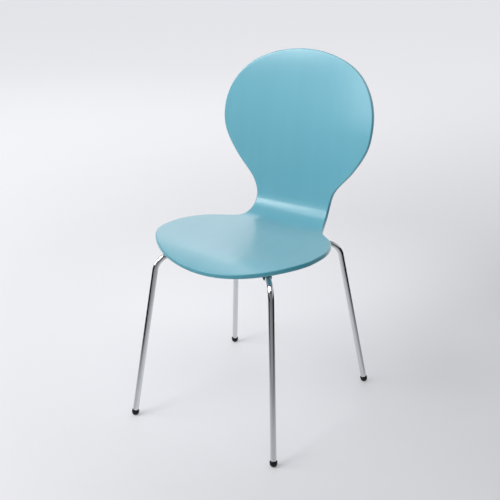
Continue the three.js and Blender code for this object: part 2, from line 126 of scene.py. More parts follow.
PAD_RADIUS = 58
PAD_THICKNESS = 1.5
PLATE_RADIUS = 61
PLATE_THICKNESS = 3
SCREW_CIRCLE = 42  # distance of each screw from the hub's axis
SCREW_RADIUS = 3
SCREW_HEAD_RADIUS = 6
SCREW_HEAD_HEIGHT = 3.8
SCREW_SOCKET = 4  # across flats
SCREW_SOCKET_DEPTH = 2.4
SCREW_LENGTH = 16
SCREW_PITCH = 1.0
WASHER_RADIUS = 8
WASHER_THICKNESS = 1.6
INSERT_RADIUS = 4.3
INSERT_FLANGE_RADIUS = 7
INSERT_FLANGE_THICKNESS = 1.2
INSERT_LENGTH = 9
COVER_RADIUS = 74
COVER_WALL = 2
COVER_TOP = -0.5
COVER_LIP = 9.6  # height of its turned-up edge, where the straight wall starts
COVER_FLAT_RADIUS = 58
COVER_BOSS_RADIUS = 6
COVER_CLEARANCE = 0.6  # of the slots round the tubes
COVER_SCREW_RADIUS = 2.5
COVER_SCREW_HEAD_RADIUS = 4.5
COVER_SCREW_HEAD_HEIGHT = 2.6
COVER_SCREW_SOCKET = 2.6
COVER_SCREW_SOCKET_DEPTH = 1.6
COVER_SCREW_PITCH = 0.8
BUFFER_LENGTH = 26
BUFFER_WALL = 2.8
BUFFER_HALF_WIDTH = 8.6
BUFFER_WRAP = math.radians(42)  # how far its lips reach past the sides of the tube

# Heights over the hub's plane, which touches the shell's underside.
PAD_TOP = -GAP
PLATE_TOP = PAD_TOP - PAD_THICKNESS - GAP
PLATE_BOTTOM = PLATE_TOP - PLATE_THICKNESS
ARM_HEIGHT = PLATE_BOTTOM - GAP - TUBE_RADIUS
HEAD_TOP = PLATE_BOTTOM - WASHER_THICKNESS - 2 * GAP
COVER_FLOOR = ARM_HEIGHT - TUBE_RADIUS - 0.8
COVER_BOTTOM = COVER_FLOOR - COVER_WALL


# ---------------------------------------------------------------- nodes

def node(tree, kind, inputs=None, **settings):
    """A shader node. Its inputs are given by name or number, as values or as sockets to link."""
    made = tree.nodes.new(kind)
    for key, value in settings.items():
        setattr(made, key, value)
    for key, value in (inputs or {}).items():
        if isinstance(value, bpy.types.NodeSocket):
            tree.links.new(value, made.inputs[key])
        else:
            made.inputs[key].default_value = value
    return made


def new_material(name, **constants):
    material = bpy.data.materials.new(name)
    material.use_nodes = True
    shader = material.node_tree.nodes["Principled BSDF"]
    for key, value in constants.items():
        shader.inputs[key.replace("_", " ")].default_value = value
    return material, material.node_tree, shader


def object_place(tree):
    return node(tree, "ShaderNodeTexCoord").outputs["Object"]


def noise(tree, place, scale, detail=3.0, roughness=0.5):
    """Noise of a given number of features per metre along each axis."""
    stretched = node(tree, "ShaderNodeMapping", {"Vector": place, "Scale": scale})
    made = node(tree, "ShaderNodeTexNoise", {
        "Vector": stretched.outputs[0], "Scale": 1.0, "Detail": detail, "Roughness": roughness})
    return made.outputs["Fac"]


def remap(tree, value, low, high, to_low, to_high, interpolation="LINEAR"):
    made = node(tree, "ShaderNodeMapRange", {
        "Value": value, "From Min": low, "From Max": high, "To Min": to_low, "To Max": to_high},
        interpolation_type=interpolation)
    return made.outputs["Result"]


def ease(tree, value, low, high, to_low, to_high):
    """Like remap, but with a smooth start and end."""
    return remap(tree, value, low, high, to_low, to_high, "SMOOTHSTEP")


def blend_colours(tree, factor, first, second):
    made = node(tree, "ShaderNodeMix", data_type="RGBA")
    for socket, value in ((made.inputs[0], factor), (made.inputs[6], first), (made.inputs[7], second)):
        if isinstance(value, bpy.types.NodeSocket):
            tree.links.new(value, socket)
        else:
            socket.default_value = value
    return made.outputs[2]


def arithmetic(tree, operation, first, second):
    return node(tree, "ShaderNodeMath", {0: first, 1: second}, operation=operation).outputs[0]


def vector_maths(tree, operation, output, *inputs):
    made = node(tree, "ShaderNodeVectorMath", dict(enumerate(inputs)), operation=operation)
    return made.outputs[output]


def add_bump(tree, shader, height, strength, distance):
    made = node(tree, "ShaderNodeBump", {"Height": height, "Strength": strength, "Distance": distance})
    tree.links.new(made.outputs[0], shader.inputs["Normal"])


# ---------------------------------------------------------------- materials

def lacquered_shell():
    """Turquoise lacquer over veneer. The grain runs along the blank and shows in colour and relief. The rim
    gets a darker teal, which is painted shade on the edge band.
    """
    material, tree, shader = new_material(
        "lacquered_shell", Specular_IOR_Level=0.5, Coat_Weight=0.8, Coat_Roughness=0.2,
        Sheen_Weight=0.5, Sheen_Roughness=0.4)
    blank = node(tree, "ShaderNodeAttribute", attribute_name="blank").outputs["Vector"]
    bands = noise(tree, blank, (34, 1.4, 20), 3)
    grain = noise(tree, blank, (420, 7, 200), 4, 0.6)
    pores = noise(tree, blank, (1500, 36, 700), 2)
    streaks = remap(tree, grain, 0.3, 0.7, 0, 0.4)
    figure = arithmetic(tree, "ADD", remap(tree, bands, 0.35, 0.65, 0, 0.6), streaks)
    colour = blend_colours(tree, figure, (0.108, 0.380, 0.478, 1), (0.119, 0.403, 0.502, 1))
    rim = node(tree, "ShaderNodeAttribute", attribute_name="rim").outputs["Fac"]
    # Painted shade: the rim's edge band is given a darker, more saturated colour than the faces.
    rim_painted_shade = blend_colours(tree, rim, colour, (0.040, 0.285, 0.365, 1))
    patches = remap(tree, noise(tree, object_place(tree), (90, 90, 90), 4, 0.7), 0.56, 0.8, 0, 0.2)
    wear = arithmetic(tree, "MULTIPLY", rim, patches)
    tree.links.new(blend_colours(tree, wear, rim_painted_shade, (0.22, 0.46, 0.53, 1)), shader.inputs["Base Color"])
    smears = noise(tree, object_place(tree), (9, 9, 14), 5, 0.65)
    dulled = remap(tree, grain, 0.3, 0.7, 0, 0.05)
    roughness = arithmetic(tree, "ADD", remap(tree, smears, 0.3, 0.7, 0.54, 0.61), dulled)
    roughness = arithmetic(tree, "SUBTRACT", roughness, remap(tree, rim, 0, 1, 0, 0.25))
    tree.links.new(roughness, shader.inputs["Roughness"])
    depth = node(tree, "ShaderNodeSeparateXYZ", {0: blank}).outputs["Z"]
    layers = arithmetic(tree, "SINE", arithmetic(tree, "MULTIPLY", depth, math.pi / (VENEER * MM)), 0)
    plies = arithmetic(tree, "MULTIPLY", arithmetic(tree, "MULTIPLY", layers, rim), 0.8)
    relief = arithmetic(tree, "ADD", grain, remap(tree, pores, 0.60, 0.72, 0, -1.0))
    relief = arithmetic(tree, "ADD", relief, plies)
    add_bump(tree, shader, relief, 0.25, 0.00006)
    return material


def chrome_tube():
    """Bright chrome plate with fine drawing lines along the tube and faint handling smears."""
    material, tree, shader = new_material("chrome_tube", Metallic=1.0)
    along = node(tree, "ShaderNodeAttribute", attribute_name="along").outputs["Vector"]
    lines = noise(tree, along, (900, 900, 4), 3, 0.6)
    smears = noise(tree, object_place(tree), (60, 60, 22), 5, 0.6)
    colour = blend_colours(tree, smears, (0.64, 0.65, 0.67, 1), (0.69, 0.70, 0.72, 1))
    tree.links.new(colour, shader.inputs["Base Color"])
    drawn = remap(tree, lines, 0.4, 0.7, 0, 0.02)
    roughness = arithmetic(tree, "ADD", remap(tree, smears, 0.45, 0.75, 0.045, 0.10), drawn)
    tree.links.new(roughness, shader.inputs["Roughness"])
    add_bump(tree, shader, lines, 0.08, 0.00002)
    return material


def glide_plastic():
    """Glossy black moulding, dusty and scratched towards the floor."""
    material, tree, shader = new_material("glide_plastic", Specular_IOR_Level=0.25)
    place = object_place(tree)
    height = node(tree, "ShaderNodeSeparateXYZ", {0: place}).outputs["Z"]
    low = remap(tree, height, 0.0, 0.0035, 1.0, 0.0)
    scratches = noise(tree, place, (700, 700, 160), 4, 0.7)
    dust = arithmetic(tree, "MULTIPLY", low, remap(tree, scratches, 0.45, 0.75, 0.0, 0.7))
    colour = blend_colours(tree, dust, (0.0035, 0.0035, 0.004, 1), (0.030, 0.029, 0.028, 1))
    tree.links.new(colour, shader.inputs["Base Color"])
    scratched = remap(tree, scratches, 0.4, 0.8, 0, 0.06)
    roughness = arithmetic(tree, "ADD", remap(tree, dust, 0, 0.6, 0.16, 0.6), scratched)
    tree.links.new(roughness, shader.inputs["Roughness"])
    add_bump(tree, shader, scratches, 0.12, 0.00005)
    return material


def buffer_rubber():
    """Matt black rubber with a fine bloom."""
    material, tree, shader = new_material("buffer_rubber", Specular_IOR_Level=0.35)
    place = object_place(tree)
    skin = noise(tree, place, (1400, 1400, 1400), 3, 0.6)
    bloom = noise(tree, place, (120, 120, 120), 4, 0.6)
    bloomed = remap(tree, bloom, 0.4, 0.7, 0, 1)
    colour = blend_colours(tree, bloomed, (0.014, 0.014, 0.015, 1), (0.034, 0.034, 0.034, 1))
    tree.links.new(colour, shader.inputs["Base Color"])
    tree.links.new(remap(tree, bloom, 0.3, 0.7, 0.62, 0.85), shader.inputs["Roughness"])
    add_bump(tree, shader, skin, 0.3, 0.00008)
    return material


def plate_paint():
    """Black powder coat with its orange peel."""
    material, tree, shader = new_material("plate_paint", Specular_IOR_Level=0.5)
    place = object_place(tree)
    peel = noise(tree, place, (650, 650, 650), 2, 0.4)
    specks = noise(tree, place, (2200, 2200, 2200), 2, 0.5)
    speckled = remap(tree, specks, 0.55, 0.7, 0, 1)
    colour = blend_colours(tree, speckled, (0.017, 0.018, 0.02, 1), (0.032, 0.033, 0.035, 1))
    tree.links.new(colour, shader.inputs["Base Color"])
    tree.links.new(remap(tree, peel, 0.3, 0.7, 0.42, 0.55), shader.inputs["Roughness"])
    add_bump(tree, shader, peel, 0.35, 0.00012)
    return material


def turned_metal(name, dark, light, smoothest):
    """Plated or turned metal with fine rings, tarnish and wear."""
    material, tree, shader = new_material(name, Metallic=1.0)
    place = object_place(tree)
    rings = noise(tree, place, (200, 200, 3200), 2, 0.5)
    tarnish = noise(tree, place, (260, 260, 260), 4, 0.65)
    colour = blend_colours(tree, remap(tree, tarnish, 0.35, 0.7, 0, 1), light, dark)
    tree.links.new(colour, shader.inputs["Base Color"])
    tree.links.new(remap(tree, tarnish, 0.3, 0.7, smoothest, smoothest + 0.16), shader.inputs["Roughness"])
    add_bump(tree, shader, rings, 0.2, 0.00004)
    return material


def cover_plastic():
    """Black moulding with a spark-eroded texture."""
    material, tree, shader = new_material("cover_plastic", Specular_IOR_Level=0.45)
    place = object_place(tree)
    texture = noise(tree, place, (1500, 1500, 1500), 3, 0.6)
    scuffs = noise(tree, place, (60, 60, 60), 5, 0.7)
    scuffed = remap(tree, scuffs, 0.5, 0.75, 0, 1)
    colour = blend_colours(tree, scuffed, (0.016, 0.016, 0.017, 1), (0.036, 0.036, 0.037, 1))
    tree.links.new(colour, shader.inputs["Base Color"])
    tree.links.new(remap(tree, scuffs, 0.3, 0.7, 0.5, 0.66), shader.inputs["Roughness"])
    add_bump(tree, shader, texture, 0.4, 0.0001)
    return material


MATERIALS = {
    "lacquered_shell": lacquered_shell(),
    "chrome_tube": chrome_tube(),
    "glide_plastic": glide_plastic(),
    "buffer_rubber": buffer_rubber(),
    "plate_paint": plate_paint(),
    "zinc_steel": turned_metal("zinc_steel", (0.38, 0.39, 0.41, 1), (0.60, 0.61, 0.63, 1), 0.22),
    "insert_brass": turned_metal("insert_brass", (0.42, 0.29, 0.11, 1), (0.66, 0.50, 0.22, 1), 0.24),
    "cover_plastic": cover_plastic(),
}


# ---------------------------------------------------------------- meshes

def piece(name, points, faces, slot, *nodes):
    """A smooth mesh from points in millimetres, riding on the chair in place of CAD nodes."""
    mesh = bpy.data.meshes.new(name)
    mesh.from_pydata((np.asarray(points, float) * MM).tolist(), [], [list(map(int, f)) for f in faces])
    mesh.validate()
    mesh.update()
    mesh.polygons.foreach_set("use_smooth", [True] * len(mesh.polygons))
    mesh.materials.append(MATERIALS[slot])
    made = bpy.data.objects.new(name, mesh)
    bpy.context.scene.collection.objects.link(made)
    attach(made, "root")
    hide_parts(*nodes)
    return made


def add_attribute(made, name, values):
    """Values for a material to read: one or three for each point."""
    values = np.asarray(values, np.float32)
    kind = "FLOAT_VECTOR" if values.ndim == 2 else "FLOAT"
    made.data.attributes.new(name, kind, "POINT").data.foreach_set(
        "vector" if values.ndim == 2 else "value", values.ravel())


def bevel(made, width, segments=3, degrees=35):
    modifier = made.modifiers.new("rounded_edges", "BEVEL")
    modifier.width = width * MM
    modifier.segments = segments
    modifier.limit_method = "ANGLE"
    modifier.angle_limit = math.radians(degrees)
    modifier.harden_normals = False


def grid_faces(rows, columns, wrap_rows=False, wrap_columns=False, start=0):
    """Quads between rows of points, each row following the last one in the point list."""
    faces = []
    for i in range(rows if wrap_rows else rows - 1):
        for j in range(columns if wrap_columns else columns - 1):
            a, b = i * columns, (i + 1) % rows * columns
            k = (j + 1) % columns
            faces.append([start + a + j, start + a + k, start + b + k, start + b + j])
    return faces


def rounded(corners, closed, steps=5):
    """Points of an outline. A corner is (r, z, radius of its fillet), and 0 leaves it sharp."""
    made = []
    count = len(corners)
    for i, (r, z, fillet) in enumerate(corners):
        here = np.array([r, z], float)
        ends = not closed and i in (0, count - 1)
        if ends or not fillet:
            made.append(here)
            continue
        before = np.array(corners[i - 1][:2], float) - here
        after = np.array(corners[(i + 1) % count][:2], float) - here
        before_length, after_length = np.linalg.norm(before), np.linalg.norm(after)
        before, after = before / before_length, after / after_length
        half = math.acos(np.clip(before @ after, -1, 1)) / 2
        reach = min(fillet / math.tan(half), 0.49 * before_length, 0.49 * after_length)
        radius = reach * math.tan(half)
        middle = here + (before + after) / np.linalg.norm(before + after) * radius / math.sin(half)
        first = here + before * reach - middle
        last = here + after * reach - middle
        sweep = math.acos(np.clip(first @ last / radius ** 2, -1, 1))
        for step in range(steps + 1):
            t = step / steps
            mixed = (first * math.sin((1 - t) * sweep) + last * math.sin(t * sweep)) / math.sin(sweep)
            made.append(middle + mixed)
    return np.array(made)


def lathe(outline, segments, closed=False, radius_at=None):
    """Points and faces of an outline turned about +Z. radius_at(index, r, z, angles) can change radii."""
    angles = np.arange(segments) * 2 * math.pi / segments
    points, rings = [], []
    for index, (r, z) in enumerate(outline):
        if r < 1e-6:
            rings.append([len(points)] * segments)
            points.append((0, 0, z))
            continue
        radii = np.full(segments, r) if radius_at is None else radius_at(index, r, z, angles)
        rings.append(list(range(len(points), len(points) + segments)))
        points.extend(zip(radii * np.cos(angles), radii * np.sin(angles), np.full(segments, z)))
    faces = []
    for i in range(len(rings) if closed else len(rings) - 1):
        low, high = rings[i], rings[(i + 1) % len(rings)]
        for j in range(segments):
            k = (j + 1) % segments
            corners = list(dict.fromkeys([low[j], low[k], high[k], high[j]]))
            if len(corners) > 2:
                faces.append(corners)
    return np.array(points, float), faces


# ---------------------------------------------------------------- the shell's shape

def smoothstep(x, low, high):
    t = np.clip((x - low) / (high - low), 0, 1)
    return t * t * (3 - 2 * t)


def width_value(u):
    """A cubic through the stations. Its slope at each is the mean of the slopes on both sides."""
    stations, values = np.array(WIDTH_STATIONS), np.array(WIDTH_VALUES, float)
    secants = np.diff(values) / np.diff(stations)
    slopes = np.concatenate([[0], (secants[1:] + secants[:-1]) / 2, [0]])
    i = np.clip(np.searchsorted(stations, u, side="right"), 1, len(stations) - 1)
    span = stations[i] - stations[i - 1]
    p = (u - stations[i - 1]) / span
    start, end = values[i - 1], values[i]
    rise, fall = slopes[i - 1] * span, slopes[i] * span
    return (start * (2 * p ** 3 - 3 * p ** 2 + 1) + rise * (p ** 3 - 2 * p ** 2 + p)
            + end * (3 * p ** 2 - 2 * p ** 3) + fall * (p ** 3 - p ** 2))


def curvature(s):
    bend_half = (BACK_ANGLE - SEAT_SLOPE) / 2 * BEND_RADIUS
    rise = smoothstep(s, -bend_half - BEND_EASE / 2, -bend_half + BEND_EASE / 2)
    fall = smoothstep(s, bend_half - BEND_EASE / 2, bend_half + BEND_EASE / 2)
    nose_start = BLANK_MIDDLE - BLANK_HALF_LENGTH + NOSE_LENGTH
    nose = 1 - smoothstep(s, nose_start - NOSE_EASE / 2, nose_start + NOSE_EASE / 2)
    return (rise - fall) / BEND_RADIUS + fall * BACK_CURVATURE + nose * NOSE_CURVATURE


def side_profile():
    """Arc length, y, z and angle of the upper face along the middle, a millimetre apart."""
    s = np.arange(PROFILE_START, PROFILE_END + 1)
    angle = np.concatenate([[0], np.cumsum(curvature(s[:-1] + 0.5))])
    angle += SEAT_SLOPE - angle[s == STRAIGHT_S]
    y = np.concatenate([[0], np.cumsum(np.cos(angle[:-1]))])
    z = np.concatenate([[0], np.cumsum(np.sin(angle[:-1]))])
    y += BEND_MIDDLE[0] - y[s == 0]
    z += BEND_MIDDLE[1] - z[s == 0]
    return s, y, z, angle


PROFILE = side_profile()


def shell_points(x, s, depth):
    """Points x across and s along the shell, at a depth under the sitter's face."""
    y, z, angle = (np.interp(s, PROFILE[0], values) for values in PROFILE[1:])
    lift = 0.5 * np.interp(s, DISH_STATIONS, DISH_VALUES) / 1000 * x * x - depth
    return np.stack([x, y - np.sin(angle) * lift, z + np.cos(angle) * lift], -1)


def rim_point(turn):
    u = np.sin(turn)
    return np.stack([np.cos(turn) * width_value(u), BLANK_MIDDLE + BLANK_HALF_LENGTH * u], -1)


def rim_normal(turn):
    """Outwards from the blank, in its plane."""
    along = rim_point(turn + 0.01) - rim_point(turn - 0.01)
    along /= np.linalg.norm(along, axis=-1, keepdims=True)
    return np.stack([along[..., 1], -along[..., 0]], -1)


def blank_grid(across, along, inset):
    """The flat blank as a grid of [x, s], its rim moved in by a distance."""
    row = np.linspace(-1, 1, across + 1)
    column = np.linspace(-1, 1, along + 1)
    column = column * (1 - CROWDING + CROWDING * column ** 2)
    a, b = np.meshgrid(row, column)
    disc_x = a * np.sqrt(1 - b * b / 2)
    disc_y = b * np.sqrt(1 - a * a / 2)
    flat = np.stack([disc_x * width_value(disc_y), BLANK_MIDDLE + BLANK_HALF_LENGTH * disc_y], -1)
    turn = np.arctan2(disc_y, disc_x)
    share = np.hypot(disc_x, disc_y) ** 6
    return flat - rim_normal(turn) * (share * inset)[..., None], turn


def seat_shell():
    """Two dense faces joined by a rounded rim."""
    flat, turn = blank_grid(CELLS_ACROSS, CELLS_ALONG, SHELL_EDGE)
    rows, columns = flat.shape[:2]
    index = np.arange(rows * columns).reshape(rows, columns)
    border = np.concatenate([index[0, :-1], index[:-1, -1], index[-1, :0:-1], index[:0:-1, 0]])
    border_turn = turn.ravel()[border]
    top = np.concatenate([flat.reshape(-1, 2), np.zeros((rows * columns, 1))], 1)
    under = top + [0, 0, SHELL_THICKNESS]
    arc = np.linspace(0, math.pi / 2, 9)[1:]
    upper = [(SHELL_EDGE * (1 - math.sin(t)), SHELL_EDGE * (1 - math.cos(t))) for t in arc]
    middle = [(0, depth) for depth in np.linspace(SHELL_EDGE, SHELL_THICKNESS - SHELL_EDGE, 6)[1:-1]]
    lower = [(inset, SHELL_THICKNESS - depth) for inset, depth in reversed(upper)]
    loops = upper + middle + lower
    rim, normal = rim_point(border_turn), rim_normal(border_turn)
    band = [np.concatenate([rim - normal * inset, np.full((len(border), 1), depth)], 1)
            for inset, depth in loops]
    blank = np.concatenate([top, under, *band])
    points = shell_points(blank[:, 0], blank[:, 1], blank[:, 2])
    count = rows * columns
    faces = grid_faces(rows, columns)
    faces += [[f + count for f in reversed(face)] for face in faces]
    middle_rings = [2 * count + len(border) * i + np.arange(len(border)) for i in range(len(loops))]
    rings = [border, *middle_rings, border + count]
    for first, second in zip(rings, rings[1:]):
        for j in range(len(border)):
            k = (j + 1) % len(border)
            faces.append([first[k], first[j], second[j], second[k]])
    made = piece("shell", points, faces, "lacquered_shell", "seat_shell")
    add_attribute(made, "blank", blank * MM)
    # The rim mask drives the rim's painted shade, and also its wear, smoother finish and ply lines.
    from_face = np.minimum(blank[:, 2], SHELL_THICKNESS - blank[:, 2])
    add_attribute(made, "rim", smoothstep(from_face, *RIM_COLOUR_START))
    return made


seat_shell()

# ---------------------------------------------------------------- the hub's frame

hub_x = np.array([1.0, 0, 0])
hub_y = np.array([0, math.cos(SEAT_SLOPE), math.sin(SEAT_SLOPE)])
hub_z = np.array([0, -math.sin(SEAT_SLOPE), math.cos(SEAT_SLOPE)])
plate_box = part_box("mounting_plate")
plate_centre = np.array((plate_box[0] + plate_box[1]) / 2) / MM
hub_origin = plate_centre - hub_z * (PLATE_TOP + PLATE_BOTTOM) / 2
arm_centre = hub_origin + hub_z * ARM_HEIGHT


def from_hub(points):
    points = np.asarray(points, float)
    return hub_origin + points @ np.stack([hub_x, hub_y, hub_z])


def to_hub(points):
    return (np.asarray(points, float) - hub_origin) @ np.stack([hub_x, hub_y, hub_z]).T


def underside_height(x, y):
    """How far the shell's underside is above the hub's plane, at hub places x and y."""
    s = HUB_S + y
    for _ in range(5):
        place = to_hub(shell_points(x, s, SHELL_THICKNESS))
        s = s + (y - place[..., 1])
    return place[..., 2]


# ---------------------------------------------------------------- legs

def leg_layout(side, leg):
    foot = np.array([side * leg["foot"][0], leg["foot"][1], 0.0])
    knee = np.array([side * leg["knee"][0], leg["knee"][1], 0.0])
    knee[2] = arm_centre[2] - (knee - arm_centre)[:2] @ hub_z[:2] / hub_z[2]
    outwards = (knee - arm_centre) / np.linalg.norm(knee - arm_centre)
    leg_up = (knee - foot) / np.linalg.norm(knee - foot)
    return {
        "foot": foot, "knee": knee, "outwards": outwards, "leg_up": leg_up,
        "inner": arm_centre + outwards * ARM_START,
        "tube_end": foot + leg_up * (GLIDE_FLOOR + DISC_THICKNESS + 2 * GAP),
    }


LAYOUTS = {name: leg_layout(*leg) for name, leg in LEGS.items()}


def leg_path(layout):
    """Centres and directions along a tube: a straight arm, a knee and a straight leg."""
    arm, leg = layout["outwards"], -layout["leg_up"]
    turn = math.acos(arm @ leg)
    reach = KNEE_RADIUS * math.tan(turn / 2)
    start, end = layout["knee"] - arm * reach, layout["knee"] + leg * reach
    sideways = leg - arm * (leg @ arm)
    sideways /= np.linalg.norm(sideways)
    centres = [layout["inner"] + (start - layout["inner"]) * t for t in np.linspace(0, 1, 13)[:-1]]
    directions = [arm] * len(centres)
    for angle in np.linspace(0, turn, 37):
        centres.append(start + KNEE_RADIUS * (arm * math.sin(angle) + sideways * (1 - math.cos(angle))))
        directions.append(arm * math.cos(angle) + sideways * math.sin(angle))
    for t in np.linspace(0, 1, 25)[1:]:
        centres.append(end + (layout["tube_end"] - end) * t)
        directions.append(leg)
    across = np.cross(arm, sideways)
    return np.array(centres), np.array(directions), across


def leg_tube(name, layout):
    segments = 40
    centres, directions, across = leg_path(layout)
    angles = np.arange(segments) * 2 * math.pi / segments
    inside = TUBE_RADIUS - TUBE_WALL
    lip = TUBE_RADIUS - TUBE_CHAMFER
    last = len(centres) - 1
    outer = [(i, TUBE_RADIUS, 0.0) for i in range(len(centres))]
    outer[0] = (0, TUBE_RADIUS, TUBE_CHAMFER)
    outer[-1] = (last, TUBE_RADIUS, -TUBE_CHAMFER)
    ends = [(last, lip, 0.0), (last, inside, 0.0)]
    inner = [(i, inside, 0.0) for i in reversed(range(1, last))]
    starts = [(0, inside, 0.0), (0, lip, 0.0)]
    points, lines = [], []
    travelled = np.concatenate([[0], np.cumsum(np.linalg.norm(np.diff(centres, axis=0), axis=1))])
    for i, radius, shift in outer + ends + inner + starts:
        up = np.cross(across, directions[i])
        sideways, upwards = radius * np.cos(angles), radius * np.sin(angles)
        centre = centres[i] + directions[i] * shift
        points.append(centre + sideways[:, None] * across + upwards[:, None] * up)
        lines.append(np.stack([sideways, upwards, np.full(segments, travelled[i])], 1))
    faces = grid_faces(len(points), segments, wrap_rows=True, wrap_columns=True)
    made = piece(f"{name}_tube", np.concatenate(points), faces, "chrome_tube", f"leg_tube_{name}")
    add_attribute(made, "along", np.concatenate(lines) * MM)
    return made


def onto_leg(points, layout):
    """Points turned from +Z to a leg's axis and moved to its foot."""
    turn = Vector((0, 0, 1)).rotation_difference(Vector(layout["leg_up"]))
    return np.asarray(points) @ np.array(turn.to_matrix()).T + layout["foot"]


def glide(name, layout):
    """A moulded cup with a domed sole, ground flat where it meets the floor."""
    rim = GLIDE_HEIGHT - GLIDE_SUNK
    centre = GLIDE_RADIUS - GLIDE_SUNK
    dome = [(GLIDE_RADIUS * math.sin(t), centre - GLIDE_RADIUS * math.cos(t), 0)
            for t in np.linspace(0, math.pi / 2, 25)]
    bore = TUBE_RADIUS + GAP
    outline = rounded([
        *dome,
        (GLIDE_RADIUS, rim, 0.9),
        (bore, rim, 0.4),
        (bore, GLIDE_FLOOR, 0.5),
        (0, GLIDE_FLOOR, 0),
    ], closed=False)
    points, faces = lathe(outline, 64)
    points = onto_leg(points, layout)
    points[:, 2] = np.maximum(points[:, 2], 0)
    return piece(f"{name}_glide", points, faces, "glide_plastic", f"glide_{name}")


def glide_disc(name, layout):
    low = GLIDE_FLOOR + GAP
    high = low + DISC_THICKNESS
    outline = rounded(
        [(0, low, 0), (DISC_RADIUS, low, 0.3), (DISC_RADIUS, high, 0.3), (0, high, 0)], closed=False)
    points, faces = lathe(outline, 48)
    return piece(f"{name}_disc", onto_leg(points, layout), faces, "zinc_steel", f"glide_disc_{name}")


def seat_buffer(name, layout, distance):
    """A rubber saddle on the tube, its block rising to the shell's underside."""
    inner = TUBE_RADIUS + GAP
    outer = inner + BUFFER_WALL
    shoulder = math.acos(BUFFER_HALF_WIDTH / outer)
    right = [(outer * math.cos(t), outer * math.sin(t)) for t in np.linspace(-BUFFER_WRAP, shoulder, 14)]
    cavity = [(inner * math.cos(t), inner * math.sin(t))
              for t in np.linspace(math.pi + BUFFER_WRAP, -BUFFER_WRAP, 40)]
    top = [(x, None) for x in np.linspace(BUFFER_HALF_WIDTH, -BUFFER_HALF_WIDTH, 13)]
    left = [(-x, y) for x, y in reversed(right)]
    section = right + top + left + cavity
    across = np.cross(hub_z, layout["outwards"])
    up = np.cross(layout["outwards"], across)
    stations = np.linspace(-BUFFER_LENGTH / 2, BUFFER_LENGTH / 2, 15)
    centre = arm_centre + layout["outwards"] * distance
    points = []
    for station in stations:
        axis = to_hub(centre + layout["outwards"] * station)
        side = to_hub(hub_origin + across)
        for x, y in section:
            place = axis + side * x
            rise = underside_height(place[0], place[1]) - GAP - ARM_HEIGHT if y is None else y
            points.append(centre + layout["outwards"] * station + across * x + up * rise)
    faces = grid_faces(len(stations), len(section), wrap_columns=True)
    faces = [list(reversed(face)) for face in faces]
    last = (len(stations) - 1) * len(section)
    faces.append(list(range(len(section))))
    faces.append([last + i for i in reversed(range(len(section)))])
    made = piece(f"{name}_buffer", points, faces, "buffer_rubber", f"seat_buffer_{name}")
    bevel(made, 0.7)
    return made


for leg_name, layout in LAYOUTS.items():
    leg_tube(leg_name, layout)
    glide(leg_name, layout)
    glide_disc(leg_name, layout)
    seat_buffer(leg_name, layout, LEGS[leg_name][1]["buffer"])

# ---------------------------------------------------------------- hub

SCREWS = {
    "left": (SCREW_CIRCLE, 0),
    "right": (-SCREW_CIRCLE, 0),
    "front": (0, -SCREW_CIRCLE),
    "rear": (0, SCREW_CIRCLE),
}


def drilled_disc(name, radius, low, high, slot, cad_node):
    """A disc with a hole for each shell screw and one for the cover screw."""
    outline = rounded([(0, low, 0), (radius, low, 0.4), (radius, high, 0.4), (0, high, 0)], closed=False)
    points, faces = lathe(outline, 144)
    made = piece(name, from_hub(points), faces, slot, cad_node)
    holes = [(x, y, SCREW_RADIUS + GAP) for x, y in SCREWS.values()] + [(0, 0, COVER_SCREW_RADIUS + GAP)]
    bottom, top = low - 5, high + 5
    for number, (x, y, size) in enumerate(holes):
        cutter_points, cutter_faces = lathe([(0, bottom), (size, bottom), (size, top), (0, top)], 48)
        mesh = bpy.data.meshes.new(f"{name}_cutter_{number}")
        mesh.from_pydata((from_hub(cutter_points + [x, y, 0]) * MM).tolist(), [], cutter_faces)
        cutter = bpy.data.objects.new(mesh.name, mesh)
        bpy.context.scene.collection.objects.link(cutter)
        modifier = made.modifiers.new(f"hole_{number}", "BOOLEAN")
        modifier.operation = "DIFFERENCE"
        modifier.solver = "EXACT"
        modifier.object = cutter
    bpy.context.view_layer.update()
    graph = bpy.context.evaluated_depsgraph_get()
    cut = bpy.data.meshes.new_from_object(made.evaluated_get(graph))
    for modifier in list(made.modifiers):
        bpy.data.objects.remove(modifier.object)
        made.modifiers.remove(modifier)
    made.data = cut
    cut.set_sharp_from_angle(angle=math.radians(35))
    bevel(made, 0.25, 2)
    return made


def hexagon(across, angles):
    """Radius of a hexagon of that size across its flats."""
    return across / 2 / np.cos((angles + math.pi / 6) % (math.pi / 3) - math.pi / 6)


def socket_screw(name, place, top, height, head_radius, socket, socket_depth, shank, tip, pitch, cad_node):
    """A pan head with a hexagon socket, and a shank with its thread. The head's face points down."""
    bottom = top - height
    socket_floor = bottom + socket_depth
    head = rounded([
        (0, socket_floor + 0.6, 0), (socket / 2, socket_floor, 0), (socket / 2, bottom, 0),
        (socket / 2 + 0.35, bottom, 0), (head_radius, bottom, height * 0.55), (head_radius, top, 0.3),
        (shank, top, 0),
    ], closed=False)
    thread = [(shank, z) for z in np.arange(top + 0.5, tip - 0.6, pitch / 8)]
    end = [(shank - 0.5, tip - 0.1), (shank - 0.9, tip), (0, tip)]
    outline = np.concatenate([head, thread, end])

    def radius_at(index, r, z, angles):
        if index in (1, 2):
            return hexagon(socket, angles)
        if len(head) <= index < len(head) + len(thread):
            phase = (z / pitch - angles / (2 * math.pi)) % 1
            depth = 0.61 * pitch * np.abs(2 * phase - 1)
            run_out = min(1, (z - top) / 2, (tip - z) / 1.5)
            return r - depth * run_out
        return np.full(len(angles), r)

    points, faces = lathe(outline, 48, radius_at=radius_at)
    return piece(name, from_hub(points + [*place, 0]), faces, "zinc_steel", cad_node)


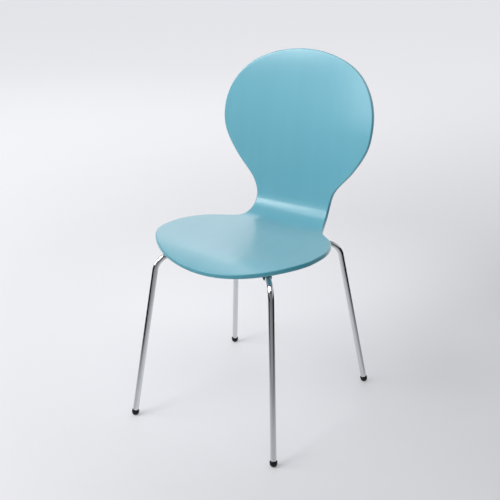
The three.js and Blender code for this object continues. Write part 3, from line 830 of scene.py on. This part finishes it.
def washer(name, place):
    top = PLATE_BOTTOM - GAP
    bore = SCREW_RADIUS + GAP
    outline = rounded([
        (bore, top - WASHER_THICKNESS, 0.15), (WASHER_RADIUS, top - WASHER_THICKNESS, 0.35),
        (WASHER_RADIUS, top, 0.15), (bore, top, 0.15),
    ], closed=True, steps=3)
    points, faces = lathe(outline, 64, closed=True)
    points = from_hub(points + [*place, 0])
    return piece(f"{name}_washer", points, faces, "zinc_steel", f"screw_washer_{name}")


def insert(name, place):
    """A flanged brass nut, knurled where it grips the wood."""
    rise = float(underside_height(np.array(place[0], float), np.array(0.0)))
    bore = SCREW_RADIUS + GAP
    outline = rounded([
        (bore, rise, 0.2), (INSERT_FLANGE_RADIUS, rise, 0.3),
        (INSERT_FLANGE_RADIUS, rise + INSERT_FLANGE_THICKNESS, 0.3),
        (INSERT_RADIUS, rise + INSERT_FLANGE_THICKNESS, 0), (INSERT_RADIUS, rise + INSERT_LENGTH, 0.5),
        (bore, rise + INSERT_LENGTH, 0.2),
    ], closed=True, steps=3)

    def radius_at(_, r, z, angles):
        if abs(r - INSERT_RADIUS) < 0.6:
            return r - 0.18 * (1 + np.cos(angles * 24))
        return np.full(len(angles), r)

    points, faces = lathe(outline, 96, closed=True, radius_at=radius_at)
    points = from_hub(points + [*place, 0])
    return piece(f"{name}_insert", points, faces, "insert_brass", f"threaded_insert_{name}")


def hub_cover():
    """A round dish with a boss in its middle and a slot in its wall for each tube."""
    bore = COVER_SCREW_RADIUS + GAP
    boss_top = PLATE_BOTTOM - GAP
    wall = COVER_RADIUS - COVER_WALL
    low = COVER_BOTTOM + COVER_LIP
    slot = TUBE_RADIUS + COVER_CLEARANCE
    inside = [(wall, COVER_LIP, 0), (70.8, 5.8, 2), (67, 3.1, 2), (COVER_FLAT_RADIUS, COVER_WALL, 4)]
    outside = [(COVER_FLAT_RADIUS, 0, 5), (68, 1.2, 5), (72.6, 4.6, 5), (COVER_RADIUS, COVER_LIP, 0)]
    boss = [
        (COVER_BOSS_RADIUS, COVER_FLOOR, 1), (COVER_BOSS_RADIUS, boss_top, 0.4),
        (bore, boss_top, 0.3), (bore, COVER_BOTTOM, 0.3),
    ]
    floor = rounded([
        *((r, COVER_BOTTOM + z, fillet) for r, z, fillet in inside), *boss,
        *((r, COVER_BOTTOM + z, fillet) for r, z, fillet in outside),
    ], closed=False)
    arms = sorted(math.atan2(*to_hub(layout["knee"])[1::-1]) % (2 * math.pi) for layout in LAYOUTS.values())
    angles = list(np.arange(192) * 2 * math.pi / 192)
    half = math.asin(slot / COVER_RADIUS)
    for arm in arms:
        angles = [a for a in angles if abs((a - arm + math.pi) % (2 * math.pi) - math.pi) > half + 0.008]
        angles += [arm + half * math.sin(t) for t in np.linspace(-math.pi / 2, math.pi / 2, 17)]
        angles += [arm - half - 1e-5, arm + half + 1e-5]
    angles = np.array(sorted(a % (2 * math.pi) for a in angles))
    heights = np.full(len(angles), COVER_TOP, float)
    for arm in arms:
        away = (angles - arm + math.pi) % (2 * math.pi) - math.pi
        in_slot = np.abs(away) <= half + 2e-6
        offset = np.clip(COVER_RADIUS * np.sin(away[in_slot]), -slot, slot)
        heights[in_slot] = ARM_HEIGHT - np.sqrt(slot ** 2 - offset ** 2)
    loops = [(r, np.full(len(angles), z)) for r, z in floor]
    shares = np.linspace(0, 1, 5)[1:]
    loops += [(COVER_RADIUS, low + (heights - low) * t) for t in shares]
    loops += [(wall, low + (heights - low) * t) for t in reversed(shares)]
    points = np.concatenate([
        np.stack([r * np.cos(angles), r * np.sin(angles), z], 1) for r, z in loops])
    faces = grid_faces(len(loops), len(angles), wrap_rows=True, wrap_columns=True)
    made = piece("underseat_cover", from_hub(points), faces, "cover_plastic", "hub_cover")
    made.data.set_sharp_from_angle(angle=math.radians(35))
    bevel(made, 0.4, 2)
    return made


drilled_disc("rubber_pad", PAD_RADIUS, PAD_TOP - PAD_THICKNESS, PAD_TOP, "buffer_rubber", "hub_pad")
drilled_disc("steel_plate", PLATE_RADIUS, PLATE_BOTTOM, PLATE_TOP, "plate_paint", "mounting_plate")
for screw_name, place in SCREWS.items():
    socket_screw(f"{screw_name}_screw", place, HEAD_TOP, SCREW_HEAD_HEIGHT, SCREW_HEAD_RADIUS,
                 SCREW_SOCKET, SCREW_SOCKET_DEPTH, SCREW_RADIUS, HEAD_TOP + SCREW_LENGTH, SCREW_PITCH,
                 f"shell_screw_{screw_name}")
    washer(screw_name, place)
    insert(screw_name, place)
hub_cover()
socket_screw("middle_screw", (0, 0), COVER_BOTTOM - GAP, COVER_SCREW_HEAD_HEIGHT, COVER_SCREW_HEAD_RADIUS,
             COVER_SCREW_SOCKET, COVER_SCREW_SOCKET_DEPTH, COVER_SCREW_RADIUS, PLATE_TOP - 0.6,
             COVER_SCREW_PITCH, "cover_screw")

# ---------------------------------------------------------------- camera

AZIMUTH = math.radians(32.62)
ELEVATION = math.radians(22.22)
DISTANCE = 2.181
AIM = CENTRE + Vector((0.0027, -0.0316, -0.0112))
BACKWARDS = Vector((
    math.sin(AZIMUTH) * math.cos(ELEVATION), -math.cos(AZIMUTH) * math.cos(ELEVATION), math.sin(ELEVATION)))
camera = bpy.data.objects.new("camera", bpy.data.cameras.new("camera"))
camera.data.lens = 65.3
camera.data.sensor_width = 36
camera.location = AIM + BACKWARDS * DISTANCE
camera.rotation_mode = "QUATERNION"
camera.rotation_quaternion = (-BACKWARDS).to_track_quat("-Z", "Y")
bpy.context.scene.collection.objects.link(camera)
bpy.context.scene.camera = camera
bpy.context.scene.view_settings.view_transform = "Standard"

# ---------------------------------------------------------------- studio

LEFT = Vector((-math.cos(AZIMUTH), -math.sin(AZIMUTH), 0))  # the picture's left
AWAY = Vector((-math.sin(AZIMUTH), math.cos(AZIMUTH), 0))
BEND = Vector((0, BEND_MIDDLE[0], BEND_MIDDLE[1])) * MM
SEAT = Vector((0, -0.05, 0.43))
STUDIO_COLOUR = (0.965, 0.968, 1.0, 1)
HORIZON = 0.80  # brightness of the studio round the floor
OVERHEAD = 0.28  # brightness of the studio overhead
FRONT_SHARE = 0.3  # how much of that brightness the studio has behind the camera

# The floor's two glows: a place, the distances from it that it changes between, and its strengths there.
NEAR_GLOW = (AWAY * 0.48 - LEFT * 0.1, (0.0, 1.05), (0.15, 0.0))
FAR_GLOW = (AWAY * -0.64 - LEFT * 0.99, (0.2, 5.2), (0.135, 0.585))

SURROUND_RADII = [0.34, 0.6, 1.2, 3.0, 7.0]
SURROUND_SHADED = 1.15  # it is fully dark from this radius on
SURROUND_TURN = 58  # degrees left open on either side of straight ahead
SURROUND_LIFT = 0.004
SURROUND_HEIGHT = 1.2

# Aim, degrees left of the camera's heading, elevation, distance, width, height and radiance.
SOFTBOXES = {
    "key": (BEND, 122, 37, 3.8, 1.4, 1.3, 9.8),
    "side_panel": (BEND, 94, 20, 4.0, 1.7, 1.6, 3.8),
    "high_side_panel": (BEND, 93, 45, 3.8, 1.3, 1.0, 3.7),
    "rear_panel": (SEAT, -6, 34, 3.4, 1.2, 2.0, 1.4),
    "rear_side_panel": (SEAT, 11, 34, 3.4, 0.8, 2.0, 1.3),
    "front_top": (SEAT, 180, 60, 3.2, 2.4, 1.2, 2.7),
}


def seen_from(place, left_of_away, elevation, distance):
    """A place that is some degrees left of the camera's heading and above the horizon."""
    heading = AZIMUTH + math.radians(left_of_away)
    rise = math.radians(elevation)
    return place + distance * Vector((
        -math.sin(heading) * math.cos(rise), math.cos(heading) * math.cos(rise), math.sin(rise)))


def softbox(name, aim, left_of_away, elevation, distance, width, height, radiance):
    place = seen_from(aim, left_of_away, elevation, distance)
    light = bpy.data.lights.new(name, "AREA")
    light.shape = "RECTANGLE"
    light.size = width
    light.size_y = height
    light.energy = radiance * math.pi * width * height
    made = bpy.data.objects.new(name, light)
    made.location = place
    made.rotation_mode = "QUATERNION"
    made.rotation_quaternion = (aim - place).to_track_quat("-Z", "Y")
    made.visible_camera = False
    bpy.context.scene.collection.objects.link(made)
    return made


def stage_piece(name, points, faces, material):
    """A smooth mesh of the studio, from points in metres."""
    mesh = bpy.data.meshes.new(name)
    mesh.from_pydata([tuple(p) for p in points], [], faces)
    mesh.polygons.foreach_set("use_smooth", [True] * len(mesh.polygons))
    mesh.materials.append(material)
    made = bpy.data.objects.new(name, mesh)
    bpy.context.scene.collection.objects.link(made)
    return made


def glow(tree, place, middle, distances, strengths):
    """A strength that changes smoothly between two distances from a place on the floor."""
    away = vector_maths(tree, "DISTANCE", "Value", place, middle)
    return ease(tree, away, *distances, *strengths)


def pale_floor():
    """Paper with a faint glow under the chair and a stronger one towards the horizon."""
    material, tree, shader = new_material("pale_floor", Specular_IOR_Level=0.15, Roughness=0.9)
    place = object_place(tree)
    cloud = noise(tree, place, (0.8, 0.8, 0.8), 2)
    tint = blend_colours(tree, cloud, (0.555, 0.557, 0.574, 1), (0.575, 0.577, 0.594, 1))
    tree.links.new(tint, shader.inputs["Base Color"])
    strength = arithmetic(tree, "ADD", glow(tree, place, *NEAR_GLOW), glow(tree, place, *FAR_GLOW))
    tree.links.new(strength, shader.inputs["Emission Strength"])
    shader.inputs["Emission Color"].default_value = STUDIO_COLOUR
    points, faces = lathe([(0, 0), (1, 0), (3, 0), (8, 0), (20, 0), (60, 0)], 96)
    return stage_piece("floor", points, faces, material)


def dark_surround():
    """A dark sheet just over the paper beside and in front of the chair, rising to a low wall at its edge.
    Only reflections see it: it paints dark reflections into the chrome and lacquer, while the camera and
    the lighting see the pale paper there.
    """
    material, tree, shader = new_material("painted_dark_reflections", Roughness=1.0, Specular_IOR_Level=0.0)
    place = object_place(tree)
    away = vector_maths(tree, "LENGTH", "Value", place)
    # Painted dark reflections: pale near the chair, darkest at the sides, less dark in front.
    shaded = ease(tree, away, SURROUND_RADII[0], SURROUND_SHADED, 0, 1)
    heading = vector_maths(tree, "NORMALIZE", "Vector", place)
    in_front = remap(tree, vector_maths(tree, "DOT_PRODUCT", "Value", heading, -AWAY), 0.5, 0.95, 0, 1)
    darkest = blend_colours(tree, in_front, (0.012, 0.012, 0.014, 1), (0.38, 0.38, 0.39, 1))
    shade = blend_colours(tree, shaded, (0.60, 0.60, 0.61, 1), darkest)
    tree.links.new(shade, shader.inputs["Base Color"])
    turns = np.radians(np.linspace(SURROUND_TURN, 360 - SURROUND_TURN, 73))
    loops = [(radius, SURROUND_LIFT) for radius in SURROUND_RADII] + [(SURROUND_RADII[-1], SURROUND_HEIGHT)]
    points = [LEFT * radius * math.sin(turn) + AWAY * radius * math.cos(turn) + Vector((0, 0, height))
              for radius, height in loops for turn in turns]
    made = stage_piece("painted_dark_reflections", points, grid_faces(len(loops), len(turns)), material)
    made.visible_camera = False
    made.visible_diffuse = False
    made.visible_shadow = False
    made.visible_transmission = False
    made.visible_volume_scatter = False
    return made


def studio_world():
    """The camera sees an even pale studio. It lights the chair less from above and from the front."""
    world = bpy.data.worlds.new("studio")
    bpy.context.scene.world = world
    world.use_nodes = True
    tree = world.node_tree
    direction = node(tree, "ShaderNodeTexCoord").outputs["Generated"]
    rise = node(tree, "ShaderNodeSeparateXYZ", {0: direction}).outputs["Z"]
    strength = ease(tree, rise, 0.40, 0.75, HORIZON, OVERHEAD)
    towards = vector_maths(tree, "DOT_PRODUCT", "Value", direction, AWAY)
    share = ease(tree, towards, -0.7, 0.2, FRONT_SHARE, 1)
    lighting = arithmetic(tree, "MULTIPLY", strength, share)
    seen = node(tree, "ShaderNodeLightPath").outputs["Is Camera Ray"]
    shown = node(tree, "ShaderNodeMix", {0: seen, 2: lighting, 3: HORIZON}, data_type="FLOAT").outputs[0]
    background = tree.nodes["Background"]
    background.inputs["Color"].default_value = STUDIO_COLOUR
    tree.links.new(shown, background.inputs["Strength"])


pale_floor()
dark_surround()
studio_world()
for light_name, settings in SOFTBOXES.items():
    softbox(light_name, *settings)
